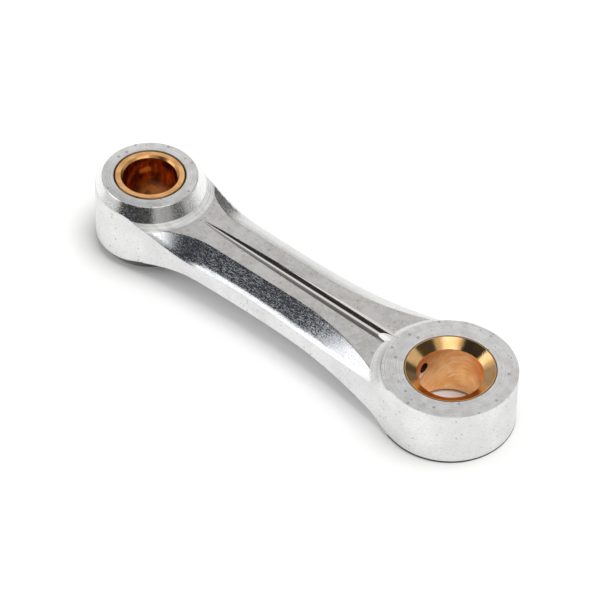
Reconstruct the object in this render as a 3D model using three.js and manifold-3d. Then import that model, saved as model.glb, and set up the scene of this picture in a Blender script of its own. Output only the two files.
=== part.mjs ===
// Connecting rod of a small two-stroke engine: one machined aluminium rod with a pressed-in bronze
// bush in each end. The big end runs on a 6 mm crankpin, the small end on a 5 mm wrist pin.
//
// Millimetres, +Z up. X runs from the small end to the big end, Z runs along both bores, and the
// origin is under the middle of the rod, level with the lower face of the small end, which is the
// thicker of the two. Apart from the groove and the oil hole, the rod is the same above and below
// its middle plane.

import * as THREE from 'three';
import { mergeVertices } from 'three/addons/utils/BufferGeometryUtils.js';
import Module from 'manifold-3d';

const wasm = await Module();
wasm.setup();

// ---------------------------------------------------------------- driving dimensions

const CENTRE_DISTANCE = 36;        // wrist pin axis to crankpin axis

const BIG_END = {
  radius: 6.05,
  thickness: 5.7,
  edge: 0.12,                      // edge break, at 45 degrees
  filletWidth: 1.45,               // the hollow round from the end down to the shank
  boreRadius: 4.1,                 // housing bore, under the bush
  boreEdge: 0.06,
};

const SMALL_END = {
  radius: 5.05,
  thickness: 7.5,
  edgeWidth: 0.63,                 // the steep turned chamfer round each face
  edgeHeight: 1.05,
  filletWidth: 1.35,
  boreRadius: 3.3,
  boreEdge: 0.12,
};

const SHANK_THICKNESS = 4.1;
const FLANK_RADIUS = 96;           // plan radius of both sides, tangent to both ends

// The bevel along each side of the shank is straight in the middle and sweeps out at both ends.
const BEVEL = {
  slope: Math.tan(THREE.MathUtils.degToRad(30)),
  reach: 5.5,                      // outward from the bevel's upper line, well past the flank
  smallStart: { fromBigEnd: 26.4, halfWidth: 1.95, radius: 8.3, sweep: 60 },
  bigStart: { fromBigEnd: 16.5, halfWidth: 1.95, radius: 27, sweep: 38 },
};

// The groove down the upper face, a round-bottomed cut that deepens towards the big end.
const GROOVE = {
  radius: 1.3,
  start: 29.5,                     // where it starts, from the crankpin axis
  runIn: 0.3,                      // the cutter's start, above the face
  end: 6.7,                        // where it is deepest
  depth: 0.24,
};

// The oil hole, drilled from the deep end of the groove down into the crankpin bore.
const OIL_HOLE = {
  radius: 0.45,
  mouth: { fromBigEnd: 7.2, aboveMiddle: 2.15 },
  outlet: { fromBigEnd: 3.0, aboveMiddle: 0.9 },
  runIn: 1.5,                      // the drill's start, above the face
};

const BIG_BUSH = {
  boreRadius: 3.0,
  topChamferWidth: 1.0,            // the wide oil-retaining chamfer
  topChamferDepth: 0.6,
  bottomChamfer: 0.15,
};

const SMALL_BUSH = {
  boreRadius: 2.5,
  chamfer: 0.2,
};

const PRESS_FIT_GAP = 0.02;        // clearance between each bush and its housing, on the radius
const ROUND_SEGMENTS = 72;         // round the ends, their bores and the bushes
const FILLET_SEGMENTS = 5;
const FLANK_SEGMENTS = 24;
const BEVEL_STEPS = 40;
const GROOVE_SEGMENTS = 48;
const OIL_HOLE_SEGMENTS = 24;
const ARC_STEP_DEGREES = 3;
const OVERCUT = 1;                 // how far a cutting solid runs past what it cuts
const OVERLAP = 0.03;              // how far a joined solid reaches into its neighbour
const TUCK = {
  radiusShare: 0.95,               // the shank prism starts this far out inside each end
  backDegrees: 10,                 // and this far behind the point where its flank touches the end
};

// ---------------------------------------------------------------- derived places

const LENGTH = SMALL_END.radius + CENTRE_DISTANCE + BIG_END.radius;
const BIG_X = LENGTH / 2 - BIG_END.radius;
const SMALL_X = BIG_X - CENTRE_DISTANCE;
const MIDDLE_Z = SMALL_END.thickness / 2;
const SHANK_HALF = SHANK_THICKNESS / 2;

// ---------------------------------------------------------------- solids from closed geometries

function toSolid(geometry) {
  const bare = geometry.clone();
  bare.deleteAttribute('normal');
  bare.deleteAttribute('uv');
  const merged = mergeVertices(bare, 1e-5);
  const mesh = new wasm.Mesh({
    numProp: 3,
    vertProperties: new Float32Array(merged.attributes.position.array),
    triVerts: new Uint32Array(merged.index.array),
  });
  return new wasm.Manifold(mesh);
}

function toGeometry(solid) {
  const mesh = solid.getMesh();
  const geometry = new THREE.BufferGeometry();
  geometry.setAttribute('position', new THREE.BufferAttribute(mesh.vertProperties, 3));
  geometry.setIndex(new THREE.BufferAttribute(mesh.triVerts, 1));
  return geometry;
}

// A solid turned about a vertical axis: profile holds [radius, height] from the bottom up.
function turned(profile) {
  const points = profile.map(([radius, height]) => new THREE.Vector2(radius, height));
  return new THREE.LatheGeometry(points, ROUND_SEGMENTS).rotateX(Math.PI / 2);
}

// A closed profile turned about a vertical axis leaves a bore in the middle.
function turnedRing(profile) {
  return turned([...profile, profile[0]]);
}

function placed(geometry, x, y, z) {
  return toSolid(geometry.clone().translate(x, y, z));
}

// A straight round cutter of the given radius from one point to another.
function roundCutter(radius, from, to, segments) {
  const axis = new THREE.Vector3().subVectors(to, from);
  const turn = new THREE.Quaternion().setFromUnitVectors(
    new THREE.Vector3(0, 1, 0),
    axis.clone().normalize(),
  );
  const middle = new THREE.Vector3().addVectors(from, to).multiplyScalar(0.5);
  return new THREE.CylinderGeometry(radius, radius, axis.length(), segments)
    .applyQuaternion(turn)
    .translate(middle.x, middle.y, middle.z);
}

// ---------------------------------------------------------------- plan outline

// The flanks are arcs that touch both end rounds, so their centre lies FLANK_RADIUS past each.
function flankCentre() {
  const toBig = FLANK_RADIUS + BIG_END.radius;
  const toSmall = FLANK_RADIUS + SMALL_END.radius;
  const along = (toSmall ** 2 - toBig ** 2 - CENTRE_DISTANCE ** 2) / (2 * CENTRE_DISTANCE);
  return new THREE.Vector2(along, Math.sqrt(toBig ** 2 - along ** 2));
}

// A point just inside an end's round, a little way back from where the flank touches it.
function tuckedPoint(touch, axis, backDegrees) {
  return touch.clone()
    .sub(axis)
    .multiplyScalar(TUCK.radiusShare)
    .rotateAround(new THREE.Vector2(), THREE.MathUtils.degToRad(backDegrees))
    .add(axis);
}

// The flank outline from inside the small end to inside the big end, with the crankpin axis at 0.
function flankPoints() {
  const centre = flankCentre();
  const bigAxis = new THREE.Vector2(0, 0);
  const smallAxis = new THREE.Vector2(-CENTRE_DISTANCE, 0);
  const bigTouch = centre.clone().setLength(BIG_END.radius);
  const smallTouch = centre.clone().sub(smallAxis).setLength(SMALL_END.radius).add(smallAxis);
  const points = [tuckedPoint(smallTouch, smallAxis, TUCK.backDegrees)];
  for (let i = 1; i < FLANK_SEGMENTS; i += 1) {
    const x = THREE.MathUtils.lerp(smallTouch.x, bigTouch.x, i / FLANK_SEGMENTS);
    points.push(new THREE.Vector2(x, centre.y - Math.sqrt(FLANK_RADIUS ** 2 - (x - centre.x) ** 2)));
  }
  points.push(tuckedPoint(bigTouch, bigAxis, -TUCK.backDegrees));
  return points;
}

// The plan of the shank as an upright prism that runs from one pin axis to the other.
function shankPrism(halfHeight) {
  const flank = flankPoints();
  const nearFlank = flank.map((point) => new THREE.Vector2(point.x, -point.y));
  const outline = new THREE.Shape([
    new THREE.Vector2(-CENTRE_DISTANCE, 0),
    ...nearFlank,
    new THREE.Vector2(0, 0),
    ...flank.reverse(),
  ]);
  const geometry = new THREE.ExtrudeGeometry(outline, { depth: 2 * halfHeight, bevelEnabled: false });
  return placed(geometry, BIG_X, 0, MIDDLE_Z - halfHeight);
}

// ---------------------------------------------------------------- ends

// Half of an end's upright profile: up the middle plane, the edge break, then in to the axis.
function endProfile(end) {
  const half = end.thickness / 2;
  const width = end.edgeWidth ?? end.edge;
  const height = end.edgeHeight ?? end.edge;
  return [
    [0, -half],
    [end.radius - width, -half],
    [end.radius, height - half],
    [end.radius, half - height],
    [end.radius - width, half],
    [0, half],
  ];
}

// The flare that joins an end to the shank: a hollow quarter round above and below, which starts
// inside the end and finishes just under the shank's face.
function flareProfile(end) {
  const top = end.thickness / 2 - (end.edgeHeight ?? end.edge) - OVERLAP;
  const inner = end.radius - OVERLAP;
  const rise = top - SHANK_HALF + OVERLAP;
  const upper = [];
  for (let i = 0; i <= FILLET_SEGMENTS; i += 1) {
    const angle = (i / FILLET_SEGMENTS) * (Math.PI / 2);
    upper.push([
      inner + end.filletWidth * (1 - Math.cos(angle)),
      top - rise * Math.sin(angle),
    ]);
  }
  const lower = upper.map(([radius, height]) => [radius, -height]);
  return [[0, -top], ...lower, ...upper.reverse(), [0, top]];
}

function turnedEnd(profile, x) {
  return placed(turned(profile), x, 0, MIDDLE_Z);
}

// ---------------------------------------------------------------- bevels

// Points on an arc of the bevel's line. It starts from the line's own heading, firstTurn and lastTurn
// are angles from that heading, and the arc's centre lies outward of the shank.
function arcPoints(start, heading, firstTurn, lastTurn) {
  const outward = new THREE.Vector2(-Math.sin(heading), Math.cos(heading));
  const centre = new THREE.Vector2(-start.fromBigEnd, start.halfWidth)
    .addScaledVector(outward, start.radius);
  const steps = Math.ceil(Math.abs(lastTurn - firstTurn) / ARC_STEP_DEGREES);
  return Array.from({ length: steps + 1 }, (_, i) => {
    const turn = THREE.MathUtils.lerp(firstTurn, lastTurn, i / steps);
    const angle = heading + THREE.MathUtils.degToRad(turn);
    return new THREE.Vector2(Math.sin(angle), -Math.cos(angle))
      .multiplyScalar(start.radius)
      .add(centre);
  });
}

// The line along one side where the bevel meets the shank's upper face: an arc in from the flank, a
// straight, and an arc out again. The outer side of the shank is on its left.
function bevelLine(side) {
  const { smallStart, bigStart } = BEVEL;
  const run = smallStart.fromBigEnd - bigStart.fromBigEnd;
  const heading = Math.atan2(bigStart.halfWidth - smallStart.halfWidth, run);
  const points = [
    ...arcPoints(smallStart, heading, -smallStart.sweep, 0),
    ...arcPoints(bigStart, heading, 0, bigStart.sweep),
  ].map((point) => new THREE.Vector3(BIG_X + point.x, side * point.y, MIDDLE_Z + SHANK_HALF));
  if (side < 0) {
    points.reverse();
  }
  const line = new THREE.CurvePath();
  for (let i = 1; i < points.length; i += 1) {
    line.add(new THREE.LineCurve3(points[i - 1], points[i]));
  }
  return line;
}

// A wedge swept along one side, with its sloping face below. The section is drawn with height
// running down its first axis and outward distance along its second.
function bevelCutter(side) {
  const section = new THREE.Shape([
    new THREE.Vector2(-OVERCUT, -OVERCUT / BEVEL.slope),
    new THREE.Vector2(BEVEL.reach * BEVEL.slope, BEVEL.reach),
    new THREE.Vector2(-OVERCUT, BEVEL.reach),
  ]);
  return toSolid(new THREE.ExtrudeGeometry(section, {
    steps: BEVEL_STEPS,
    bevelEnabled: false,
    extrudePath: bevelLine(side),
  }));
}

// A cutter for the upper face turned over, for the lower face.
function turnedOver(solid) {
  return solid.translate([0, 0, -MIDDLE_Z]).rotate([180, 0, 0]).translate([0, 0, MIDDLE_Z]);
}

// ---------------------------------------------------------------- groove and oil hole

function grooveCutter() {
  const fall = GROOVE.depth / (GROOVE.start - GROOVE.end);
  const axisHeight = (fromBigEnd) => (
    MIDDLE_Z + SHANK_HALF + GROOVE.radius - fall * (GROOVE.start - fromBigEnd)
  );
  const startX = GROOVE.start + GROOVE.runIn;
  return toSolid(roundCutter(
    GROOVE.radius,
    new THREE.Vector3(BIG_X - startX, 0, axisHeight(startX)),
    new THREE.Vector3(BIG_X - GROOVE.end, 0, axisHeight(GROOVE.end)),
    GROOVE_SEGMENTS,
  ));
}

function oilHoleCutter() {
  const [mouth, outlet] = [OIL_HOLE.mouth, OIL_HOLE.outlet].map(({ fromBigEnd, aboveMiddle }) => (
    new THREE.Vector3(BIG_X - fromBigEnd, 0, MIDDLE_Z + aboveMiddle)
  ));
  const axis = new THREE.Vector3().subVectors(outlet, mouth).normalize();
  mouth.addScaledVector(axis, -OIL_HOLE.runIn);
  outlet.addScaledVector(axis, OVERCUT);
  return toSolid(roundCutter(OIL_HOLE.radius, mouth, outlet, OIL_HOLE_SEGMENTS));
}

// ---------------------------------------------------------------- pieces

function housingBore(end, x) {
  const half = end.thickness / 2;
  const mouth = end.boreRadius + end.boreEdge + OVERCUT;
  return turnedEnd([
    [0, -half - OVERCUT],
    [mouth, -half - OVERCUT],
    [end.boreRadius, end.boreEdge - half],
    [end.boreRadius, half - end.boreEdge],
    [mouth, half + OVERCUT],
    [0, half + OVERCUT],
  ], x);
}

// The shank with both flares, inside the plan outline and with all four bevels cut.
function bevelledShank() {
  const tall = Math.max(BIG_END.thickness, SMALL_END.thickness) / 2;
  const flares = turnedEnd(flareProfile(BIG_END), BIG_X)
    .add(turnedEnd(flareProfile(SMALL_END), SMALL_X))
    .intersect(shankPrism(tall));
  return [1, -1].reduce((shank, side) => {
    const cutter = bevelCutter(side);
    return shank.subtract(cutter).subtract(turnedOver(cutter));
  }, shankPrism(SHANK_HALF).add(flares));
}

function rodBody() {
  return bevelledShank()
    .add(turnedEnd(endProfile(BIG_END), BIG_X))
    .add(turnedEnd(endProfile(SMALL_END), SMALL_X))
    .subtract(grooveCutter())
    .subtract(housingBore(BIG_END, BIG_X))
    .subtract(housingBore(SMALL_END, SMALL_X))
    .subtract(oilHoleCutter());
}

function bigEndBush() {
  const half = BIG_END.thickness / 2;
  const outer = BIG_END.boreRadius - PRESS_FIT_GAP;
  const { boreRadius, topChamferWidth, topChamferDepth, bottomChamfer } = BIG_BUSH;
  const ring = turnedRing([
    [boreRadius, bottomChamfer - half],
    [boreRadius + bottomChamfer, -half],
    [outer, -half],
    [outer, half],
    [boreRadius + topChamferWidth, half],
    [boreRadius, half - topChamferDepth],
  ]);
  return placed(ring, BIG_X, 0, MIDDLE_Z).subtract(oilHoleCutter());
}

function smallEndBush() {
  const half = SMALL_END.thickness / 2;
  const outer = SMALL_END.boreRadius - PRESS_FIT_GAP;
  const { boreRadius, chamfer } = SMALL_BUSH;
  const ring = turnedRing([
    [boreRadius, chamfer - half],
    [boreRadius + chamfer, -half],
    [outer, -half],
    [outer, half],
    [boreRadius + chamfer, half],
    [boreRadius, half - chamfer],
  ]);
  return placed(ring, SMALL_X, 0, MIDDLE_Z);
}

// ---------------------------------------------------------------- assembly

function piece(name, solid, color, roughness) {
  const material = new THREE.MeshStandardMaterial({ color, roughness, metalness: 1 });
  const mesh = new THREE.Mesh(toGeometry(solid), material);
  mesh.name = name;
  return mesh;
}

const group = new THREE.Group();
group.add(piece('rod_body', rodBody(), 0xd6d6d4, 0.35));
group.add(piece('big_end_bush', bigEndBush(), 0xc98a4b, 0.22));
group.add(piece('small_end_bush', smallEndBush(), 0xc27d3f, 0.25));

export default group;
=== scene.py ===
import math

import bpy
import numpy as np
from mathutils import Matrix, Vector
from mathutils.geometry import delaunay_2d_cdt


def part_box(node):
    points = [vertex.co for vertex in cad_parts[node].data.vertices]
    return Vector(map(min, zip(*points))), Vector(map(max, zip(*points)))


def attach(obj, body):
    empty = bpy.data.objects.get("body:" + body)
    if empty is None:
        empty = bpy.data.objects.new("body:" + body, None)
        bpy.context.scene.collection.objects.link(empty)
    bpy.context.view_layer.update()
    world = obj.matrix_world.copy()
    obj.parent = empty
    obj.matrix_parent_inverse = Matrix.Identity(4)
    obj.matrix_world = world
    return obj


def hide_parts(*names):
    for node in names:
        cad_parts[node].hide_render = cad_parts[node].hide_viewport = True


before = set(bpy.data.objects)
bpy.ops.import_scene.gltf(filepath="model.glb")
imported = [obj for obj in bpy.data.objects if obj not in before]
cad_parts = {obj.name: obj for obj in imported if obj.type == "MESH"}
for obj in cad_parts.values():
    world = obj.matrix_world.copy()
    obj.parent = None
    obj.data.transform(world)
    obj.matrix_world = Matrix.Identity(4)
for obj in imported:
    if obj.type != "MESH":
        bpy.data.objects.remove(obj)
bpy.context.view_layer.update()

# A machined aluminium connecting rod with a bronze bush in each end.
#
# Shapes are worked out in millimetres and scaled to metres when a mesh is made. "Plan" coordinates
# are measured from the crankpin axis: x towards the big end, y across, and heights are measured
# from the rod's middle plane. Apart from the groove and the oil hole, the rod is the same on both
# sides of y = 0, and above and below the middle plane.

MM = 0.001

# ---------------------------------------------------------------- places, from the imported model


def middle_mm(node):
    low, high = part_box(node)
    return (low + high) / 2 / MM


def size_mm(node):
    low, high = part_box(node)
    return (high - low) / MM


BIG_AXIS = middle_mm("big_end_bush")
SMALL_AXIS = middle_mm("small_end_bush")
MIDDLE_Z = middle_mm("rod_body").z
CENTRE_DISTANCE = BIG_AXIS.x - SMALL_AXIS.x
BIG_HALF = size_mm("big_end_bush").z / 2
SMALL_HALF = size_mm("small_end_bush").z / 2
BIG_RADIUS = size_mm("rod_body").y / 2
SMALL_RADIUS = size_mm("rod_body").x - CENTRE_DISTANCE - BIG_RADIUS

# ---------------------------------------------------------------- rod dimensions, millimetres

SHANK_HALF = 2.05
FLANK_RADIUS = 96.0

BIG_EDGE = 0.12                 # edge break round the big end's faces
BIG_STEP_RADIUS = 6.1           # the big end's face reaches this far over the shank
BIG_TOE_RADIUS = 7.12           # where its hollow fillet meets the shank
BIG_FILLET_FULLNESS = 0.97      # how much of a quarter round the fillet is
BIG_BORE = 4.1
BIG_SEAT = 0.06                 # edge break of the housing bore

SMALL_FACE_RADIUS = 4.42
SMALL_CHAMFER_DROP = 1.05
SMALL_FOOT_RADIUS = 5.2         # where the chamfer meets the hollow fillet
SMALL_TOE_RADIUS = 5.95
SMALL_FILLET_FULLNESS = 0.8
SMALL_BORE = 3.3
SMALL_SEAT = 0.1
SMALL_RING_PITCH = 0.22         # turned rings in the small end's fillet
SMALL_RING_DEPTH = 0.05

BEVEL_SLOPE = 0.55              # at its upper edge
BEVEL_CROWN = 0.012             # how fast it steepens outward, per millimetre
BEVEL_ROLL = 0.35               # width of the strip that rolls over to the side
BEVEL_ROLL_RATE = 0.6
BEVEL_SMALL_START = (-26.4, 1.95)
BEVEL_SMALL_RADIUS = 8.3
BEVEL_BIG_START = (-16.5, 1.95)
BEVEL_BIG_RADIUS = 27.0

GROOVE_LINE = 0.07              # y of the groove's lowest line
GROOVE_NEAR_RADIUS = 1.5        # of its section at the -y side, and at the +y side
GROOVE_FAR_RADIUS = 0.78
GROOVE_SHOULDER = 0.22          # where the -y side's rougher part, painted darker as shade, starts, as a share
GROOVE_START = -29.5
GROOVE_END = -7.0
GROOVE_DEPTH = 0.36

OIL_RADIUS = 0.5
OIL_MOUTH = (-7.4, 2.02)        # plan x and height of two points on the oil hole's axis
OIL_OUTLET = (-3.0, 0.9)
OIL_RUN_IN = 1.5                # the drill reaches this far beyond the mouth
OIL_RUN_OUT = 1.0               # and this far beyond the outlet

BUSH_GAP = 0.02
BUSH_EDGE_ROUND = 0.04
BIG_BUSH_BORE = 3.0
BIG_BUSH_CHAMFER = (1.0, 0.6)   # width and depth of the wide upper chamfer
BIG_BUSH_LOWER_CHAMFER = 0.15
SMALL_BUSH_BORE = 2.5
SMALL_BUSH_CHAMFER = 0.2
SEAM_WIDTH = 0.1                # dark edge round the small bush, painted dark as shade

CHAMFER_STEEPNESS = SMALL_CHAMFER_DROP / (SMALL_RADIUS - SMALL_FACE_RADIUS)

EDGE_ROUND = 0.03               # the smallest edge radius
FACE_BLEND = 0.12               # how widely two surfaces blend at the end faces' edges
BEVEL_BLEND = 0.02              # at the bevels' upper edges
STEP_BLEND = 0.01               # between the ends and the shank
GROOVE_BLEND = 0.008            # at the groove's edges
STEEP = 40.0                    # slope that stands for an upright turned shoulder
FAR = 9.0                       # beyond every part of the rod, across or upwards

# ---------------------------------------------------------------- mesh divisions

BIG_STEPS = 260                 # round the big end
SMALL_STEPS = 220               # round the small end
FLANK_STEPS = 200               # along each flank
BORE_STEPS = 256                # round each bore and bush
OIL_STEPS = 64                  # round the oil hole
CORNER_STEPS = 3                # round each corner of a turned profile
LINE_CLEARANCE = 0.03           # between the outline or a bore and the lines inside the plan
BEVEL_STEP = 0.2                # along the bevels' edges
GROOVE_STEP = 0.25              # along the groove

# ---------------------------------------------------------------- the rod's upper surface


def smooth_min(a, b, width):
    share = np.clip(0.5 + 0.5 * (b - a) / width, 0, 1)
    return b * (1 - share) + a * share - width * share * (1 - share)


def smooth_max(a, b, width):
    return -smooth_min(-a, -b, width)


class BevelLine:
    """The line where a bevel meets the shank's face: an arc, a straight, and another arc."""

    def __init__(self):
        self.start = np.array(BEVEL_SMALL_START)
        self.end = np.array(BEVEL_BIG_START)
        run = self.end - self.start
        self.length = np.hypot(*run)
        self.along = run / self.length
        self.outward = np.array([-self.along[1], self.along[0]])
        self.small_centre = self.start + BEVEL_SMALL_RADIUS * self.outward
        self.big_centre = self.end + BEVEL_BIG_RADIUS * self.outward

    def distance(self, x, y):
        """How far outward of the line a point lies."""
        point = np.stack([x, np.abs(y)], -1)
        along = (point - self.start) @ self.along
        straight = (point - self.start) @ self.outward
        small = BEVEL_SMALL_RADIUS - np.linalg.norm(point - self.small_centre, axis=-1)
        big = BEVEL_BIG_RADIUS - np.linalg.norm(point - self.big_centre, axis=-1)
        return np.where(along < 0, small, np.where(along > self.length, big, straight))

    def stations(self, spacing):
        """Points along the line and the outward directions there."""
        places = np.arange(-8.5, self.length + 16, spacing)
        points = []
        directions = []
        for place in places:
            if place < 0:
                turn = place / BEVEL_SMALL_RADIUS
                centre, radius = self.small_centre, BEVEL_SMALL_RADIUS
            elif place > self.length:
                turn = (place - self.length) / BEVEL_BIG_RADIUS
                centre, radius = self.big_centre, BEVEL_BIG_RADIUS
            else:
                points.append(self.start + place * self.along)
                directions.append(self.outward)
                continue
            outward = math.cos(turn) * self.outward - math.sin(turn) * self.along
            points.append(centre - radius * outward)
            directions.append(outward)
        return np.array(points), np.array(directions)


BEVEL = BevelLine()


def quarter_hollow(share, fullness):
    """A hollow round that rises from 0 to 1 as share goes from 0 to 1."""
    full = 1 - math.sqrt(1 - fullness**2)
    return (1 - np.sqrt(1 - (fullness * np.clip(share, 0, 1)) ** 2)) / full


def bevelled_height(x, y):
    """The shank's face, falling away at both sides of the bevel lines."""
    distance = BEVEL.distance(x, y)
    crown = BEVEL_CROWN * np.maximum(distance, 0) ** 2
    roll = BEVEL_ROLL_RATE * np.maximum(outside_by(x, y) + BEVEL_ROLL, 0) ** 2
    return smooth_min(SHANK_HALF, SHANK_HALF - BEVEL_SLOPE * distance - crown, BEVEL_BLEND) - roll


def shank_height(x, y):
    """The bevelled shank with the hollow fillets that rise from it to both ends."""
    base = bevelled_height(x, y)
    to_big = np.hypot(x, y)
    to_small = np.hypot(x + CENTRE_DISTANCE, y)
    big_share = (BIG_TOE_RADIUS - to_big) / (BIG_TOE_RADIUS - BIG_STEP_RADIUS)
    big = (BIG_HALF - base) * quarter_hollow(big_share, BIG_FILLET_FULLNESS)
    foot = SMALL_HALF - CHAMFER_STEEPNESS * (SMALL_FOOT_RADIUS - SMALL_FACE_RADIUS)
    small_share = (SMALL_TOE_RADIUS - to_small) / (SMALL_TOE_RADIUS - SMALL_FOOT_RADIUS)
    small = (foot - base) * quarter_hollow(small_share, SMALL_FILLET_FULLNESS)
    ring_phase = 2 * math.pi * (SMALL_TOE_RADIUS - to_small) / SMALL_RING_PITCH
    rings = SMALL_RING_DEPTH * 0.5 * (1 - np.cos(ring_phase)) * np.clip(small_share * 3, 0, 1)
    small = small - np.where(small_share < 1, rings, 0)
    return base + np.maximum(big, small)


def big_end_height(x, y):
    radius = np.hypot(x, y)
    edge_start = BIG_RADIUS - BIG_EDGE
    face = smooth_min(BIG_HALF, BIG_HALF - (radius - edge_start), FACE_BLEND)
    return face - STEEP * np.maximum(radius - BIG_RADIUS, 0)


def small_end_height(x, y):
    radius = np.hypot(x + CENTRE_DISTANCE, y)
    chamfer = SMALL_HALF - CHAMFER_STEEPNESS * (radius - SMALL_FACE_RADIUS)
    return smooth_min(SMALL_HALF, chamfer, FACE_BLEND)


def plain_height(x, y):
    """The lower side's height, and the upper side's before the groove is cut."""
    height = smooth_max(shank_height(x, y), big_end_height(x, y), STEP_BLEND)
    return smooth_max(height, small_end_height(x, y), STEP_BLEND)


def groove_progress(x):
    return np.clip((x - GROOVE_START) / (GROOVE_END - GROOVE_START), 0, 1)


def groove_widths(x):
    """How far the groove reaches from its lowest line, towards -y and towards +y."""
    depth = GROOVE_DEPTH * groove_progress(x)
    return [
        np.sqrt(radius**2 - (radius - depth) ** 2)
        for radius in (GROOVE_NEAR_RADIUS, GROOVE_FAR_RADIUS)
    ]


def upper_height(x, y):
    """The upper side's height, with the groove cut into it."""
    radius = np.where(y < GROOVE_LINE, GROOVE_NEAR_RADIUS, GROOVE_FAR_RADIUS)
    across = np.minimum(np.abs(y - GROOVE_LINE) / radius, 0.98)
    bottom = SHANK_HALF - GROOVE_DEPTH * groove_progress(x)
    cut = bottom + radius * (1 - np.sqrt(1 - across**2))
    outside = (x < GROOVE_START) | (x > GROOVE_END) | (across > 0.97)
    return smooth_min(plain_height(x, y), np.where(outside, FAR, cut), GROOVE_BLEND)


def surface_normals(height, x, y, step=0.004):
    slope_x = (height(x + step, y) - height(x - step, y)) / (2 * step)
    slope_y = (height(x, y + step) - height(x, y - step)) / (2 * step)
    normals = np.stack([-slope_x, -slope_y, np.ones_like(x)], -1)
    return normals / np.linalg.norm(normals, axis=-1, keepdims=True)


# ---------------------------------------------------------------- the rod's outline


def flank_centre():
    to_big = FLANK_RADIUS + BIG_RADIUS
    to_small = FLANK_RADIUS + SMALL_RADIUS
    along = (to_small**2 - to_big**2 - CENTRE_DISTANCE**2) / (2 * CENTRE_DISTANCE)
    return np.array([along, math.sqrt(to_big**2 - along**2)])


FLANK_CENTRE = flank_centre()
BIG_TOUCH_ANGLE = math.atan2(FLANK_CENTRE[1], FLANK_CENTRE[0])
SMALL_TOUCH_ANGLE = math.atan2(FLANK_CENTRE[1], FLANK_CENTRE[0] + CENTRE_DISTANCE)
BIG_TOUCH_X = BIG_RADIUS * math.cos(BIG_TOUCH_ANGLE)
SMALL_TOUCH_X = SMALL_RADIUS * math.cos(SMALL_TOUCH_ANGLE) - CENTRE_DISTANCE


def outline():
    """The rod's outline in plan, anticlockwise, with outward directions."""
    full_turn = 2 * math.pi

    def arc(centre_x, radius, first, last, count):
        angle = np.linspace(first, last, count, endpoint=False)
        direction = np.stack([np.cos(angle), np.sin(angle)], -1)
        return direction * radius + [centre_x, 0], direction

    def flank(first_x, last_x, side):
        x = np.linspace(first_x, last_x, FLANK_STEPS, endpoint=False)
        y = FLANK_CENTRE[1] - np.sqrt(FLANK_RADIUS**2 - (x - FLANK_CENTRE[0]) ** 2)
        direction = np.stack([FLANK_CENTRE[0] - x, FLANK_CENTRE[1] - y], -1) / FLANK_RADIUS
        return np.stack([x, side * y], -1), direction * [1, side]

    runs = [
        arc(0, BIG_RADIUS, -BIG_TOUCH_ANGLE, BIG_TOUCH_ANGLE, BIG_STEPS),
        flank(BIG_TOUCH_X, SMALL_TOUCH_X, 1),
        arc(-CENTRE_DISTANCE, SMALL_RADIUS, SMALL_TOUCH_ANGLE, full_turn - SMALL_TOUCH_ANGLE, SMALL_STEPS),
        flank(SMALL_TOUCH_X, BIG_TOUCH_X, -1),
    ]
    return np.concatenate([run[0] for run in runs]), np.concatenate([run[1] for run in runs])


def outside_by(x, y):
    """How far a plan point lies outside the outline; negative inside."""
    big = np.hypot(x, y) - BIG_RADIUS
    small = np.hypot(x + CENTRE_DISTANCE, y) - SMALL_RADIUS
    to_centre = np.hypot(x - FLANK_CENTRE[0], np.abs(y) - FLANK_CENTRE[1])
    between = (x > SMALL_TOUCH_X) & (x < BIG_TOUCH_X)
    flank = np.where(between, FLANK_RADIUS - to_centre, FAR)
    return np.minimum(np.minimum(big, small), flank)


# ---------------------------------------------------------------- plan mesh


class PlanMesh:
    """Triangulates the plan between the outline and the bores, with edges along every feature."""

    def __init__(self):
        self.points = []
        self.edges = []

    def add_loop(self, points):
        first = len(self.points)
        self.points.extend(map(tuple, points))
        count = len(points)
        self.edges.extend((first + i, first + (i + 1) % count) for i in range(count))
        return range(first, first + count)

    def add_line(self, points):
        """Adds the parts of a line that lie clear of the outline and the bores."""
        x, y = points[:, 0], points[:, 1]
        clear = outside_by(x, y) < -EDGE_ROUND - LINE_CLEARANCE
        clear &= np.hypot(x, y) > BIG_BORE + BIG_SEAT + LINE_CLEARANCE
        clear &= np.hypot(x + CENTRE_DISTANCE, y) > SMALL_BORE + SMALL_SEAT + LINE_CLEARANCE
        previous = None
        for point, is_clear in zip(points, clear):
            if not is_clear:
                previous = None
                continue
            self.points.append(tuple(point))
            if previous is not None:
                self.edges.append((previous, len(self.points) - 1))
            previous = len(self.points) - 1

    def triangulate(self, loops):
        """The plan's vertices and triangles, and the vertices of each loop.

        The first loop is the outline, and the others are the bores, which stay open."""
        inside_constraints = 1
        vertices, _, faces, origins, _, _ = delaunay_2d_cdt(
            [Vector(point) for point in self.points], self.edges, [], inside_constraints, 1e-5
        )
        place_of = {source: i for i, sources in enumerate(origins) for source in sources}
        loops = [np.array([place_of[i] for i in loop]) for loop in loops]
        plan = np.array([tuple(vertex) for vertex in vertices])
        triangles = np.array([list(face) for face in faces])
        for bore in loops[1:]:
            triangles = triangles[~np.isin(triangles, bore).all(1)]
        return plan, triangles, loops


def circle_points(centre_x, radius, count):
    angle = np.linspace(0, 2 * math.pi, count, endpoint=False)
    return np.stack([centre_x + radius * np.cos(angle), radius * np.sin(angle)], -1)


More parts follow.
